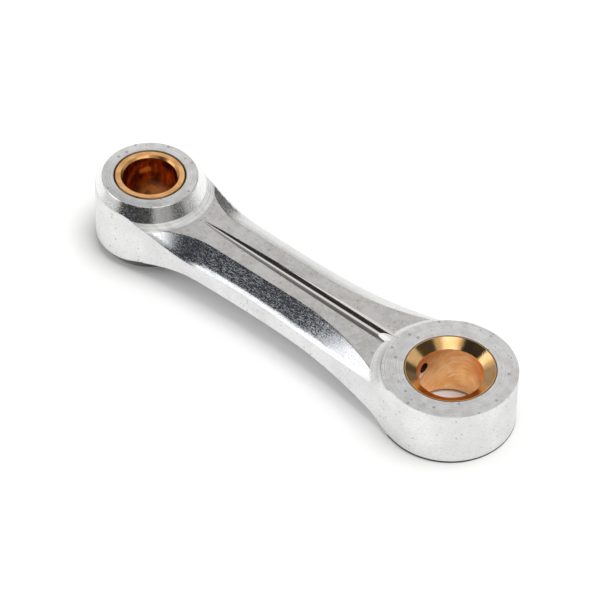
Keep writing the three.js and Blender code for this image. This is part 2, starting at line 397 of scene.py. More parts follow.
def add_rings(mesh):
    """Rings round both ends: across each edge, then evenly through the fillets."""
    big_rings = [
        *np.linspace(BIG_RADIUS - BIG_EDGE - 0.09, BIG_RADIUS - 0.01, 9),
        BIG_RADIUS + 0.01, BIG_RADIUS + 0.04,
        BIG_STEP_RADIUS - 0.03, BIG_STEP_RADIUS + 0.005,
        *np.linspace(BIG_STEP_RADIUS + 0.06, BIG_TOE_RADIUS, 9),
    ]
    small_rings = [
        *np.linspace(SMALL_FACE_RADIUS - 0.05, SMALL_FACE_RADIUS + 0.06, 6),
        SMALL_FACE_RADIUS + 0.18, SMALL_FACE_RADIUS + 0.38, SMALL_FACE_RADIUS + 0.52,
        SMALL_RADIUS + 0.02, SMALL_FOOT_RADIUS - 0.02,
        *np.linspace(SMALL_FOOT_RADIUS + 0.01, SMALL_TOE_RADIUS, 20),
    ]
    ends = ((0, BIG_STEPS, big_rings), (-CENTRE_DISTANCE, SMALL_STEPS, small_rings))
    for centre_x, steps, radii in ends:
        for radius in radii:
            ring = circle_points(centre_x, radius, steps)
            mesh.add_line(np.vstack([ring, ring[:1]]))


def add_bevels(mesh):
    """Lines along both bevels: close together at their upper edge, then evenly out to the side."""
    line, outward = BEVEL.stations(BEVEL_STEP)
    at_edge = (-0.06, -0.03, 0.0, 0.03, 0.06)
    for offset in (*at_edge, *np.arange(0.3, 3.5, 0.3)):
        for side in (1, -1):
            mesh.add_line((line + offset * outward) * [1, side])


def add_groove(mesh):
    """Lines down the groove's sides, along both edges, and across its deep end."""
    x = np.arange(GROOVE_START + 0.15, GROOVE_END - 0.05, GROOVE_STEP)
    inner_shares = (0.03, 0.25, 0.5, 0.7, 0.85, 0.95)
    edge_offsets = (-0.02, 0.0, 0.02, 0.05)
    for side, width in zip((-1, 1), groove_widths(x)):
        for share in inner_shares:
            mesh.add_line(np.stack([x, GROOVE_LINE + side * share * width], -1))
        for offset in edge_offsets:
            mesh.add_line(np.stack([x, GROOVE_LINE + side * (width + offset)], -1))
    y = np.linspace(-1.1, 1.1, 30)
    for end in (GROOVE_END - 0.005, GROOVE_END + 0.005):
        mesh.add_line(np.stack([np.full_like(y, end), y], -1))


# ---------------------------------------------------------------- meshes with their own normals


class Shell:
    """Collects vertices, normals and faces in plan coordinates and makes the mesh object."""

    def __init__(self):
        self.points = []
        self.normals = []
        self.faces = []
        self.zones = []
        self.count = 0

    def add_points(self, points, normals):
        first = self.count
        self.points.append(np.asarray(points, float))
        self.normals.append(np.asarray(normals, float))
        self.count += len(points)
        return np.arange(first, self.count)

    def add_faces(self, faces, zone):
        self.faces.extend(map(tuple, faces))
        self.zones.extend([zone] * len(faces))

    def add_band(self, lower, upper, zone):
        """Quads between two closed rings of the same length, seen from outside with lower below."""
        after = np.roll(np.arange(len(lower)), -1)
        self.add_faces(np.stack([lower, lower[after], upper[after], upper], -1), zone)

    def make(self, name, place_x, materials):
        points = np.concatenate(self.points) + [place_x, 0, MIDDLE_Z]
        normals = np.concatenate(self.normals)
        mesh = bpy.data.meshes.new(name)
        mesh.from_pydata((points * MM).tolist(), [], [[int(i) for i in face] for face in self.faces])
        for material in materials:
            mesh.materials.append(material)
        mesh.polygons.foreach_set("material_index", np.array(self.zones, np.int32))
        corners = np.zeros(len(mesh.loops), np.int32)
        mesh.loops.foreach_get("vertex_index", corners)
        store_normals(mesh, normals[corners])
        piece = bpy.data.objects.new(name, mesh)
        bpy.context.scene.collection.objects.link(piece)
        return piece


def store_normals(mesh, corner_normals):
    """Keeps each corner's normal with the mesh, so that a cut carries it along."""
    attribute = mesh.attributes.new("shape_normal", "FLOAT_VECTOR", "CORNER")
    attribute.data.foreach_set("vector", corner_normals.astype(np.float32).ravel())


def apply_stored_normals(piece):
    mesh = piece.data
    attribute = mesh.attributes["shape_normal"]
    normals = np.zeros(len(mesh.loops) * 3, np.float32)
    attribute.data.foreach_get("vector", normals)
    normals = normals.reshape(-1, 3)
    mesh.attributes.remove(attribute)
    lengths = np.linalg.norm(normals, axis=-1, keepdims=True)
    mesh.polygons.foreach_set("use_smooth", np.ones(len(mesh.polygons), bool))
    mesh.normals_split_custom_set(normals / np.maximum(lengths, 1e-6))


def cut(piece, cutter):
    """Takes cutter out of piece, and removes cutter."""
    modifier = piece.modifiers.new("cut", "BOOLEAN")
    modifier.operation = "DIFFERENCE"
    modifier.solver = "EXACT"
    modifier.material_mode = "TRANSFER"
    modifier.object = cutter
    with bpy.context.temp_override(object=piece, active_object=piece):
        bpy.ops.object.modifier_apply(modifier=modifier.name)
    bpy.data.objects.remove(cutter)


# ---------------------------------------------------------------- turned profiles


def rounded_profile(corners):
    """Samples of a closed profile with every corner rounded: [radius, height, normal r, normal z].

    The corners run with the material on the left, so the normals point to the right."""
    corners = np.array(corners, float)
    samples = []
    count = len(corners)
    for i in range(count):
        before = corners[i] - corners[i - 1]
        after = corners[(i + 1) % count] - corners[i]
        before_length, after_length = np.hypot(*before), np.hypot(*after)
        before, after = before / before_length, after / after_length
        turn = math.atan2(before[0] * after[1] - before[1] * after[0], before @ after)
        reach = BUSH_EDGE_ROUND * abs(math.tan(turn / 2))
        reach = min(reach, 0.4 * min(before_length, after_length))
        start = corners[i] - before * reach
        end = corners[i] + after * reach
        for step in range(CORNER_STEPS + 1):
            share = step / CORNER_STEPS
            angle = turn * share
            heading = np.array([
                before[0] * math.cos(angle) - before[1] * math.sin(angle),
                before[0] * math.sin(angle) + before[1] * math.cos(angle),
            ])
            place = (1 - share) ** 2 * start + 2 * share * (1 - share) * corners[i] + share**2 * end
            samples.append([place[0], place[1], heading[1], -heading[0]])
    return np.array(samples)


def band_after(corner):
    """The place, in a rounded profile, of the straight band that follows a corner."""
    return corner * (CORNER_STEPS + 1) + CORNER_STEPS


def turned_shell(samples, zones):
    """Turns a closed profile about the vertical axis. zones gives one zone for each sample's band."""
    shell = Shell()
    angle = np.linspace(0, 2 * math.pi, BORE_STEPS, endpoint=False)
    cos, sin = np.cos(angle), np.sin(angle)
    rings = []
    for radius, height, normal_r, normal_z in samples:
        points = np.stack([radius * cos, radius * sin, np.full(BORE_STEPS, height)], -1)
        normals = np.stack([normal_r * cos, normal_r * sin, np.full(BORE_STEPS, normal_z)], -1)
        rings.append(shell.add_points(points, normals))
    for i, ring in enumerate(rings):
        shell.add_band(ring, rings[(i + 1) % len(rings)], zones[i])
    return shell


def oil_drill():
    """The oil hole as a solid to cut with."""
    mouth = np.array([OIL_MOUTH[0], 0, OIL_MOUTH[1]])
    outlet = np.array([OIL_OUTLET[0], 0, OIL_OUTLET[1]])
    along = (outlet - mouth) / np.linalg.norm(outlet - mouth)
    across = np.array([0.0, 1.0, 0.0])
    up = np.cross(along, across)
    angle = np.linspace(0, 2 * math.pi, OIL_STEPS, endpoint=False)
    outward = np.cos(angle)[:, None] * across + np.sin(angle)[:, None] * up
    shell = Shell()
    rings = [
        shell.add_points(end + OIL_RADIUS * outward, -outward)
        for end in (mouth - OIL_RUN_IN * along, outlet + OIL_RUN_OUT * along)
    ]
    shell.add_band(rings[0], rings[1], 0)
    shell.add_faces([tuple(rings[0][::-1])], 0)
    shell.add_faces([tuple(rings[1])], 0)
    return shell


# ---------------------------------------------------------------- zones of the rod

ZONES = [
    "side", "turned_face", "chamfer", "fillet", "bevel", "flat", "groove", "groove_shoulder", "bore",
]


def plan_zone(x, y, upper):
    """The finish that each plan point carries, as an index into ZONES."""
    to_big = np.hypot(x, y)
    to_small = np.hypot(x + CENTRE_DISTANCE, y)
    zone = np.full(len(x), ZONES.index("flat"))
    zone[BEVEL.distance(x, y) > 0] = ZONES.index("bevel")
    zone[to_big < BIG_TOE_RADIUS] = ZONES.index("fillet")
    zone[to_small < SMALL_TOE_RADIUS] = ZONES.index("fillet")
    zone[to_big < BIG_STEP_RADIUS] = ZONES.index("turned_face")
    zone[to_small < SMALL_FOOT_RADIUS] = ZONES.index("chamfer")
    zone[to_small < SMALL_FACE_RADIUS] = ZONES.index("turned_face")
    if upper:
        near, far = groove_widths(x)
        in_groove = (y > GROOVE_LINE - near) & (y < GROOVE_LINE + far)
        in_groove &= (x > GROOVE_START) & (x < GROOVE_END)
        zone[in_groove] = ZONES.index("groove")
        zone[in_groove & (y < GROOVE_LINE - GROOVE_SHOULDER * near)] = ZONES.index("groove_shoulder")
    return zone


def rod_plan():
    """The plan mesh: its vertices, its triangles, and the loops of the outline and both bores."""
    mesh = PlanMesh()
    edge, directions = outline()
    loops = [
        mesh.add_loop(edge - EDGE_ROUND * directions),
        mesh.add_loop(circle_points(0, BIG_BORE + BIG_SEAT, BORE_STEPS)),
        mesh.add_loop(circle_points(-CENTRE_DISTANCE, SMALL_BORE + SMALL_SEAT, BORE_STEPS)),
    ]
    add_rings(mesh)
    add_bevels(mesh)
    add_groove(mesh)
    return mesh.triangulate(loops)


def rod_shell():
    plan, triangles, (outline_ids, big_ids, small_ids) = rod_plan()
    x, y = plan[:, 0], plan[:, 1]
    middles = plan[triangles].mean(1)
    shell = Shell()
    sides = []
    for height, sign in ((upper_height, 1), (plain_height, -1)):
        z = sign * height(x, y)
        normals = surface_normals(height, x, y) * [1, 1, sign]
        ids = shell.add_points(np.stack([x, y, z], -1), normals)
        faces = ids[triangles[:, ::sign]]
        zones = plan_zone(middles[:, 0], middles[:, 1], sign > 0)
        for zone in np.unique(zones):
            shell.add_faces(faces[zones == zone], int(zone))
        sides.append((ids, z))
    add_outer_wall(shell, outline_ids, *sides)
    add_bore_wall(shell, 0, BIG_BORE, BIG_SEAT, big_ids, *sides)
    add_bore_wall(shell, -CENTRE_DISTANCE, SMALL_BORE, SMALL_SEAT, small_ids, *sides)
    return shell


def add_outer_wall(shell, ids, upper_side, lower_side):
    """The upright side all round, with a small round at its upper and lower edges."""
    upper_ids, upper_z = upper_side
    lower_ids, lower_z = lower_side
    top, bottom = upper_z[ids], lower_z[ids]
    edge, directions = outline()
    outward = np.column_stack([directions, np.zeros(len(edge))])

    def ring(z, round_share, normals):
        plan = edge - EDGE_ROUND * (1 - round_share) * directions
        return shell.add_points(np.column_stack([plan, z]), unit(normals))

    slant = math.sqrt(0.5)
    rings = [
        lower_ids[ids],
        ring(bottom + EDGE_ROUND * (1 - slant), 1 - slant, outward * slant - [0, 0, 1 - slant]),
        ring(bottom + EDGE_ROUND, 1.0, outward),
    ]
    for share in np.linspace(0.12, 0.88, 7):
        z = (bottom + EDGE_ROUND) * (1 - share) + (top - EDGE_ROUND) * share
        rings.append(ring(z, 1.0, outward))
    rings += [
        ring(top - EDGE_ROUND, 1.0, outward),
        ring(top - EDGE_ROUND * (1 - slant), 1 - slant, outward * slant + [0, 0, 1 - slant]),
        upper_ids[ids],
    ]
    for lower, upper in zip(rings, rings[1:]):
        shell.add_band(lower, upper, ZONES.index("side"))


def add_bore_wall(shell, centre_x, radius, seat, ids, upper_side, lower_side):
    """A housing bore, with its edge breaks."""
    upper_ids, upper_z = upper_side
    lower_ids, lower_z = lower_side
    plan = circle_points(centre_x, radius, len(ids))
    inward = -np.column_stack([plan - [centre_x, 0], np.zeros(len(plan))]) / radius
    rings = [upper_ids[ids]]
    for z in (upper_z[ids] - seat, np.zeros(len(ids)), lower_z[ids] + seat):
        rings.append(shell.add_points(np.column_stack([plan, z]), inward))
    rings.append(lower_ids[ids])
    for upper, lower in zip(rings, rings[1:]):
        shell.add_band(upper, lower, ZONES.index("bore"))


def unit(vectors):
    return vectors / np.linalg.norm(vectors, axis=-1, keepdims=True)


# ---------------------------------------------------------------- node helpers


class Nodes:
    """Short calls for building the node tree of a material or a world."""

    def __init__(self, owner):
        self.owner = owner
        owner.use_nodes = True
        self.tree = owner.node_tree
        self.tree.nodes.clear()

    def add(self, kind, inputs=None, **settings):
        node = self.tree.nodes.new("ShaderNode" + kind)
        for name, value in settings.items():
            setattr(node, name, value)
        for name, value in (inputs or {}).items():
            socket = node.inputs[name]
            if isinstance(value, bpy.types.NodeSocket):
                self.tree.links.new(value, socket)
            else:
                socket.default_value = value
        return node

    def math(self, operation, a, b, c=0.0):
        return self.add("Math", {0: a, 1: b, 2: c}, operation=operation).outputs[0]

    def times(self, a, b):
        return self.math("MULTIPLY", a, b)

    def vector_math(self, operation, a, b):
        return self.add("VectorMath", {0: a, 1: b}, operation=operation).outputs["Vector"]

    def length(self, vector):
        return self.add("VectorMath", {0: vector}, operation="LENGTH").outputs["Value"]

    def axes(self, vector):
        """The x, y and z of a vector."""
        return self.add("SeparateXYZ", {0: vector}).outputs

    def ramp(self, value, low, high, out_low=0.0, out_high=1.0):
        """Goes smoothly from out_low to out_high as value goes from low to high."""
        node = self.add(
            "MapRange",
            {"Value": value, "From Min": low, "From Max": high, "To Min": out_low, "To Max": out_high},
            interpolation_type="SMOOTHSTEP",
        )
        return node.outputs["Result"]

    def band(self, value, low, high, soft):
        """1 between low and high, falling to 0 over soft at each end."""
        rise = self.ramp(value, low - soft, low + soft)
        fall = self.ramp(value, high - soft, high + soft, 1.0, 0.0)
        return self.times(rise, fall)

    def mix(self, factor, a, b):
        node = self.add("Mix", {0: factor, 6: a, 7: b}, data_type="RGBA")
        return node.outputs[2]

    def noise(self, vector, scale, detail=2.0, roughness=0.5):
        inputs = {"Vector": vector, "Scale": scale, "Detail": detail, "Roughness": roughness}
        return self.add("TexNoise", inputs).outputs["Fac"]

    def bump(self, height, microns, normal=None):
        inputs = {"Height": height, "Strength": 1.0, "Distance": microns * 1e-6}
        if normal is not None:
            inputs["Normal"] = normal
        return self.add("Bump", inputs).outputs["Normal"]


def grey(value, warmth=0.0):
    return (value * (1 + warmth), value, value * (1 - warmth), 1)


def start_material(name):
    """The nodes of a new material, and the position in millimetres in the part's frame."""
    nodes = Nodes(bpy.data.materials.new(name))
    position = nodes.add("TexCoord").outputs["Object"]
    scaled = nodes.add("VectorMath", {0: position, "Scale": 1 / MM}, operation="SCALE")
    return nodes, scaled.outputs["Vector"]


def finish_material(nodes, color, roughness, normal, metallic=1.0):
    inputs = {"Base Color": color, "Roughness": roughness, "Metallic": metallic, "Normal": normal}
    shader = nodes.add("BsdfPrincipled", inputs)
    nodes.add("OutputMaterial", {"Surface": shader.outputs[0]})
    return nodes.owner


def pits(nodes, position, spacing, size, share, dimensions="3D"):
    """Small round pits: 1 in a pit, 0 elsewhere. share is how many cells of the pattern hold one."""
    cells = nodes.add(
        "TexVoronoi", {"Vector": position, "Scale": 1 / spacing, "Randomness": 1.0},
        voronoi_dimensions=dimensions,
    )
    red, green, _ = nodes.add("SeparateColor", {"Color": cells.outputs["Color"]}).outputs
    reach = nodes.ramp(green, 0.0, 1.0, 0.5 * size / spacing, size / spacing)
    near = nodes.math("LESS_THAN", cells.outputs["Distance"], reach)
    chosen = nodes.math("GREATER_THAN", red, 1 - share)
    return nodes.times(near, chosen)


def radius_from(nodes, position, centre_x):
    offset = nodes.vector_math("SUBTRACT", position, (centre_x, 0, 0))
    return nodes.length(nodes.vector_math("MULTIPLY", offset, (1, 1, 0)))


def nearest_radius(nodes, position):
    """The distance from the nearer end's axis."""
    to_big = radius_from(nodes, position, BIG_AXIS.x)
    to_small = radius_from(nodes, position, SMALL_AXIS.x)
    return nodes.math("MINIMUM", to_big, to_small)


def ring_noise(nodes, value, scale, detail=3.0):
    """Noise that depends on one value only, such as a radius, so that it draws rings."""
    inputs = {"W": nodes.times(value, scale), "Scale": 1.0, "Detail": detail}
    return nodes.add("TexNoise", inputs, noise_dimensions="1D").outputs["Fac"]


def lengthwise_marks(nodes, position):
    stretched = nodes.vector_math("MULTIPLY", position, (0.15, 1.0, 1.0))
    return nodes.noise(stretched, 7.0, 3.0)


# ---------------------------------------------------------------- aluminium finishes


def painted_contact_shadow(nodes, position):
    """A painted contact shadow: the thin dark line along the big end's lower edge, 1 on it and 0
    elsewhere.
    """
    height = nodes.axes(position)["Z"]
    radius = radius_from(nodes, position, BIG_AXIS.x)
    at_end = nodes.ramp(radius, BIG_RADIUS + 0.05, BIG_RADIUS + 0.4, 1.0, 0.0)
    shadow_top = MIDDLE_Z - BIG_HALF + BIG_EDGE + 0.08
    return nodes.times(at_end, nodes.math("LESS_THAN", height, shadow_top))


def side_material():
    """The upright sides: satin, nearly white, with scattered pits and nicks."""
    nodes, position = start_material("aluminium_side")
    broad = nodes.noise(position, 0.25, 2.0)
    fine = nodes.noise(position, 5.0, 4.0, 0.65)
    pit = pits(nodes, position, 0.42, 0.085, 0.3)
    color = nodes.mix(nodes.ramp(broad, 0.3, 0.7), grey(0.77), grey(0.88))
    color = nodes.mix(nodes.ramp(fine, 0.4, 0.75, 0.0, 0.4), color, grey(0.58))
    color = nodes.mix(nodes.times(pit, 0.55), color, grey(0.2))
    # painted contact shadow: a thin dark line along the big end's lower edge
    color = nodes.mix(painted_contact_shadow(nodes, position), color, grey(0.08))
    roughness = nodes.ramp(fine, 0.3, 0.7, 0.34, 0.5)
    normal = nodes.bump(fine, 4)
    normal = nodes.bump(nodes.times(pit, -1.0), 30, normal)
    return finish_material(nodes, color, roughness, normal)


def turned_face_material():
    """The end faces: fine concentric tool marks and dark pits."""
    nodes, position = start_material("aluminium_turned_face")
    radius = nearest_radius(nodes, position)
    rings = ring_noise(nodes, radius, 9.0, 4.0)
    patches = nodes.noise(position, 1.1, 3.0)
    fine = nodes.noise(position, 6.0, 3.0, 0.6)
    large_pit = pits(nodes, position, 1.1, 0.16, 0.3, "2D")
    small_pit = pits(nodes, position, 0.55, 0.07, 0.2, "2D")
    pit = nodes.math("MAXIMUM", large_pit, small_pit)
    color = nodes.mix(nodes.ramp(rings, 0.3, 0.7), grey(0.74), grey(0.99))
    color = nodes.mix(nodes.ramp(patches, 0.35, 0.7, 0.0, 0.6), color, grey(0.64, 0.02))
    color = nodes.mix(nodes.ramp(fine, 0.45, 0.8, 0.0, 0.4), color, grey(0.62))
    color = nodes.mix(nodes.times(pit, 0.45), color, grey(0.15, -0.05))
    roughness = nodes.ramp(rings, 0.25, 0.75, 0.38, 0.5)
    normal = nodes.bump(rings, 3)
    normal = nodes.bump(nodes.times(pit, -1.0), 40, normal)
    return finish_material(nodes, color, roughness, normal, 0.8)


def chamfer_material():
    """The small end's steep chamfer: finely turned and speckled, light above and painted near-black below
    the middle plane as shade.
    """
    nodes, position = start_material("aluminium_chamfer")
    height = nodes.axes(position)["Z"]
    rings = ring_noise(nodes, height, 16.0, 3.0)
    speckle = nodes.noise(position, 8.0, 2.0, 0.8)
    color = nodes.mix(rings, grey(0.82), grey(0.92))
    # painted shade: below the middle plane the chamfer is painted near-black
    color = nodes.mix(nodes.math("LESS_THAN", height, MIDDLE_Z), color, grey(0.12))
    roughness = nodes.ramp(speckle, 0.46, 0.62, 0.1, 0.3)
    normal = nodes.bump(rings, 1)
    normal = nodes.bump(speckle, 9, normal)
    return finish_material(nodes, color, roughness, normal)


def fillet_material():
    """The hollow fillets beside both ends: light and satin, with turned rings and chatter marks.

    The big end's has a painted shade line in its corner, and the small end's is painted dark as shade on
    the lower side."""
    nodes, position = start_material("aluminium_fillet")
    radius = nearest_radius(nodes, position)
    rings = ring_noise(nodes, radius, 7.0, 3.0)
    x, y, height = nodes.axes(position)
    angle = nodes.math("ARCTAN2", y, nodes.math("SUBTRACT", BIG_AXIS.x, x))
    chatter = ring_noise(nodes, angle, 42.0, 1.0)
    color = nodes.mix(nodes.ramp(rings, 0.3, 0.7), grey(0.82), grey(1.0))
    color = nodes.mix(nodes.ramp(chatter, 0.5, 0.62, 0.0, 0.3), color, grey(0.55))
    # painted shade: a dark line in the big end's corner, at the foot of its face
    corner = nodes.ramp(radius, BIG_STEP_RADIUS + 0.05, BIG_STEP_RADIUS + 0.16, 0.7, 0.0)
    at_big = nodes.math("GREATER_THAN", radius, SMALL_TOE_RADIUS)
    color = nodes.mix(nodes.times(corner, at_big), color, grey(0.3))
    # painted shade: the small end's fillet is painted near-black on the lower side
    painted_underside_shade = nodes.math("LESS_THAN", nodes.math("ADD", height, radius), MIDDLE_Z + 2.6)
    color = nodes.mix(painted_underside_shade, color, grey(0.12))
    normal = nodes.bump(rings, 4)
    return finish_material(nodes, color, nodes.ramp(rings, 0.3, 0.7, 0.32, 0.44), normal, 0.7)


def bevel_material():
    """The bevels: polished, with a fine grain along the rod. The one at +y is painted darker as shade,
    most near its upper edge.
    """
    nodes, position = start_material("aluminium_bevel")
    grain = nodes.noise(nodes.vector_math("MULTIPLY", position, (0.5, 1.0, 1.0)), 11.0, 2.0, 0.8)
    streak = nodes.noise(nodes.vector_math("MULTIPLY", position, (0.14, 1.0, 1.0)), 9.0, 3.0, 0.7)
    broad = nodes.noise(position, 1.4, 2.0)
    marks = nodes.math("ADD", nodes.times(grain, 0.6), nodes.times(streak, 0.4))
    color = nodes.mix(broad, (0.78, 0.8, 0.85, 1), (0.87, 0.88, 0.91, 1))
    y = nodes.axes(position)["Y"]
    # painted shade: the +y bevel is painted darker, most near its upper edge
    painted_far_shade = nodes.mix(nodes.ramp(y, SHANK_HALF, 3.2), grey(0.5), grey(0.74))
    color = nodes.mix(nodes.math("GREATER_THAN", y, 0.0), color, painted_far_shade)
    roughness = nodes.ramp(marks, 0.44, 0.62, 0.1, 0.31)
    normal = nodes.bump(marks, 4)
    return finish_material(nodes, color, roughness, normal)


def flat_material():
    """The shank's faces: matte, slightly warm, with faint mottling and a few pits."""
    nodes, position = start_material("aluminium_flat")
    broad = nodes.noise(position, 0.5, 2.0)
    mottle = nodes.noise(position, 1.3, 5.0, 0.65)
    fine = nodes.noise(position, 6.0, 3.0, 0.65)
    pit = pits(nodes, position, 0.6, 0.1, 0.3, "2D")
    color = nodes.mix(nodes.ramp(mottle, 0.32, 0.68), grey(0.6, 0.03), grey(0.93, 0.015))
    color = nodes.mix(nodes.ramp(fine, 0.42, 0.78, 0.0, 0.5), color, grey(0.55, 0.02))
    color = nodes.mix(nodes.ramp(broad, 0.48, 0.62, 0.0, 0.3), color, grey(1.0))
    color = nodes.mix(nodes.times(pit, 0.36), color, grey(0.2))
    roughness = nodes.ramp(mottle, 0.3, 0.7, 0.3, 0.44)
    normal = nodes.bump(fine, 4)
    normal = nodes.bump(nodes.times(pit, -1.0), 25, normal)
    return finish_material(nodes, color, roughness, normal)


def groove_material():
    """The groove: milled smooth, with marks along the rod."""
    nodes, position = start_material("aluminium_groove")
    lines = lengthwise_marks(nodes, position)
    color = nodes.mix(lines, grey(0.62, 0.06), grey(0.74, 0.06))
    roughness = nodes.ramp(lines, 0.3, 0.7, 0.1, 0.18)
    normal = nodes.bump(lines, 1)
    return finish_material(nodes, color, roughness, normal)


def groove_shoulder_material():
    """The groove's steep near side: rougher than its bottom and painted darker as shade, with the same
    marks along the rod.
    """
    nodes, position = start_material("aluminium_groove_shoulder")
    lines = lengthwise_marks(nodes, position)
    # painted shade: a darker copy of the groove's colour
    color = nodes.mix(lines, grey(0.3, 0.02), grey(0.42, 0.02))
    normal = nodes.bump(lines, 2)
    return finish_material(nodes, color, nodes.ramp(lines, 0.3, 0.7, 0.3, 0.42), normal)


def bright_hole_material():
    """The rod's own part of the oil hole: freshly drilled and bright."""
    nodes, position = start_material("aluminium_drilled")
    marks = nodes.noise(position, 5.0, 3.0)
    color = nodes.mix(marks, grey(0.9), grey(0.98))
    return finish_material(nodes, color, nodes.ramp(marks, 0.3, 0.7, 0.4, 0.5), nodes.bump(marks, 4), 0.3)


def bore_material():
    """The housing bores, mostly hidden by the bushes: bored, and dark grey."""
    nodes, position = start_material("aluminium_bore")
    height = nodes.axes(position)["Z"]
    rings = ring_noise(nodes, height, 12.0, 3.0)
    color = nodes.mix(rings, grey(0.3, 0.1), grey(0.45, 0.08))
    normal = nodes.bump(rings, 5)
    return finish_material(nodes, color, nodes.ramp(rings, 0.3, 0.7, 0.35, 0.5), normal)


def drilled_material():
    """The inside of the oil hole: rough, and painted near-black as the shade inside the hole."""
    nodes, position = start_material("drilled_hole")
    hole_shade_noise = nodes.noise(position, 6.0, 3.0)
    # painted shade: the hole's inside is painted near-black
    color = nodes.mix(hole_shade_noise, (0.02, 0.012, 0.008, 1), (0.09, 0.05, 0.03, 1))
    normal = nodes.bump(hole_shade_noise, 10)
    return finish_material(nodes, color, nodes.ramp(hole_shade_noise, 0.3, 0.7, 0.4, 0.6), normal, 0.6)


# ---------------------------------------------------------------- bronze finishes


def bronze_material(name, light, dark, rough, marks, scratches):
    """Bronze with tool marks round the axis and a tilted set of fine scratches."""
    nodes, position = start_material(name)
    height = nodes.axes(position)["Z"]
    radius = nearest_radius(nodes, position)
    rings = ring_noise(nodes, nodes.math("ADD", radius, height), 13.0, 3.0)
    tilted = nodes.add("Mapping", {"Vector": position, "Rotation": (0.5, 0.3, 0.6)}).outputs[0]
    stretched = nodes.vector_math("MULTIPLY", tilted, (0.12, 2.2, 2.2))
    scratch = nodes.noise(stretched, 3.0, 4.0, 0.65)
    patches = nodes.noise(position, 0.9, 3.0)
    color = nodes.mix(nodes.ramp(patches, 0.3, 0.7), light, dark)
    color = nodes.mix(nodes.ramp(scratch, 0.55, 0.7, 0.0, scratches), color, (1.0, 0.78, 0.52, 1))
    roughness = nodes.math("ADD", rough, nodes.ramp(patches, 0.3, 0.7, -0.03, 0.05))
    normal = nodes.bump(rings, marks)
    normal = nodes.bump(scratch, scratches * 10, normal)
    return finish_material(nodes, color, roughness, normal)


def big_bore_material():
    """The big bush's bore: satin, with a fan of fine bright scratches, painted shade towards its upper
    edge and a painted glint beside the hole.
    """
    nodes, position = start_material("bronze_big_bore")
    _, y, z = nodes.axes(position)
    curve = nodes.times(nodes.times(y, y), 0.12)
    across = nodes.math("ADD", nodes.math("MULTIPLY_ADD", y, -1.8, z), curve)
    along = nodes.math("MULTIPLY_ADD", z, 1.8, y)
    fan = nodes.add("CombineXYZ", {"X": across, "Y": nodes.times(along, 0.1)}).outputs[0]
    scratch = nodes.noise(fan, 4.5, 4.0, 0.7)
    patches = nodes.noise(position, 0.8, 3.0)
    color = nodes.mix(nodes.ramp(patches, 0.3, 0.7), (1.0, 0.6, 0.27, 1), (0.88, 0.44, 0.16, 1))
    color = nodes.mix(nodes.ramp(scratch, 0.52, 0.66, 0.0, 0.75), color, (1.0, 0.86, 0.66, 1))
    color = nodes.mix(nodes.ramp(scratch, 0.46, 0.34, 0.0, 0.35), color, (0.55, 0.25, 0.07, 1))
    # painted shade: the bore darkens towards its upper edge
    color = nodes.mix(nodes.ramp(z, 6.0, 6.9, 0.0, 0.6), color, (0.6, 0.33, 0.08, 1))
    # painted glint: a cream spot beside the oil outlet
    beside_outlet = (BIG_AXIS.x - BIG_BUSH_BORE, -0.35, 4.02)
    to_glint = nodes.length(nodes.vector_math("SUBTRACT", position, beside_outlet))
    painted_glint = nodes.ramp(nodes.math("MULTIPLY_ADD", scratch, 0.5, to_glint), 0.62, 0.48)
    color = nodes.mix(painted_glint, color, (1.0, 0.95, 0.8, 1))
    metallic = nodes.math("MULTIPLY_ADD", painted_glint, -0.8, 1.0)
    normal = nodes.bump(scratch, 6)
    return finish_material(nodes, color, nodes.ramp(patches, 0.3, 0.7, 0.3, 0.38), normal, metallic)


def seam_material():
    """The joint round the small bush: bronze painted dark brown as shade, with blotchy stains."""
    nodes, position = start_material("bronze_seam")
    stain_and_shade = nodes.noise(position, 1.5, 3.0)
    # painted shade: the seam is painted dark brown
    color = nodes.mix(stain_and_shade, (0.12, 0.06, 0.03, 1), (0.4, 0.22, 0.1, 1))
    return finish_material(nodes, color, nodes.ramp(stain_and_shade, 0.3, 0.7, 0.3, 0.45), nodes.bump(stain_and_shade, 4))


def small_bore_material():
    """The small bush's bore: polished, painted dark as shade with blotchy stains, and two satin patches
    painted bright orange as highlights.
    """
    nodes, position = start_material("bronze_small_bore")
    stain_and_shade = nodes.noise(position, 1.0, 3.0)
    shift = nodes.add("TexNoise", {"Vector": position, "Scale": 1.1}).outputs["Color"]
    blurred = nodes.vector_math("ADD", position, nodes.vector_math("SUBTRACT", shift, (0.5, 0.5, 0.5)))

    def highlight_mask(place, reach):
        offset = nodes.vector_math("SUBTRACT", blurred, place)
        return nodes.ramp(nodes.length(offset), reach, 0.2 * reach)

    # painted highlights: two bright orange satin patches on the bore
    upper_highlight = highlight_mask((SMALL_AXIS.x - 2.0, 1.5, 5.9), 0.75)
    lower_highlight = highlight_mask((SMALL_AXIS.x - 0.5, 2.4, 2.9), 1.9)
    highlights = nodes.math("MAXIMUM", upper_highlight, lower_highlight)
    # painted shade: the bore is painted dark, in blotches
    color = nodes.mix(nodes.ramp(stain_and_shade, 0.35, 0.65), (0.85, 0.28, 0.05, 1), (0.22, 0.07, 0.03, 1))
    color = nodes.mix(lower_highlight, color, (1.0, 0.37, 0.1, 1))
    color = nodes.mix(upper_highlight, color, (1.0, 0.24, 0.005, 1))
    roughness = nodes.math("MULTIPLY_ADD", highlights, 0.26, 0.16)
    metallic = nodes.math("MULTIPLY_ADD", highlights, -0.8, 1.0)
    return finish_material(nodes, color, roughness, nodes.bump(stain_and_shade, 3), metallic)


# ---------------------------------------------------------------- pieces


def ride_and_replace(piece, node):
    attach(piece, "root")
    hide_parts(node)


